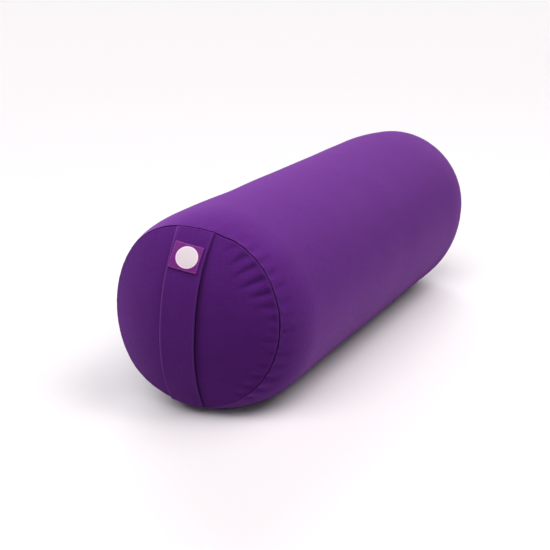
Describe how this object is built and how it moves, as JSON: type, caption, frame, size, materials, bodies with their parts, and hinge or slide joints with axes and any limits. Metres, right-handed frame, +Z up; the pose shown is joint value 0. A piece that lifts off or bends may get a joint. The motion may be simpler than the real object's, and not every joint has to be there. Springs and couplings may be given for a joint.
{
  "type": "round yoga bolster",
  "caption": "Round filled yoga bolster: a firm cloth tube with crowned end panels sewn in, and a flat carry handle with a plain label across one end.",
  "frame": {"origin": "on the floor under the middle of the bolster", "axes": "+Z up, +Y along the tube towards its plain end, the carry handle at the -Y end"},
  "size_m": [0.23, 0.6817, 0.2224],
  "materials": {
    "cover_cloth": "matte purple cotton canvas",
    "handle_cloth": "matte purple cotton canvas, folded and pressed",
    "label_cloth": "woven magenta label with a bare off-white disc"
  },
  "bodies": {
    "root": {"filled_tube": "cover_cloth", "end_panel_handle_side": "cover_cloth", "end_panel_plain_side": "cover_cloth", "carry_handle": "handle_cloth", "handle_label": "label_cloth"}
  },
  "joints": []
}
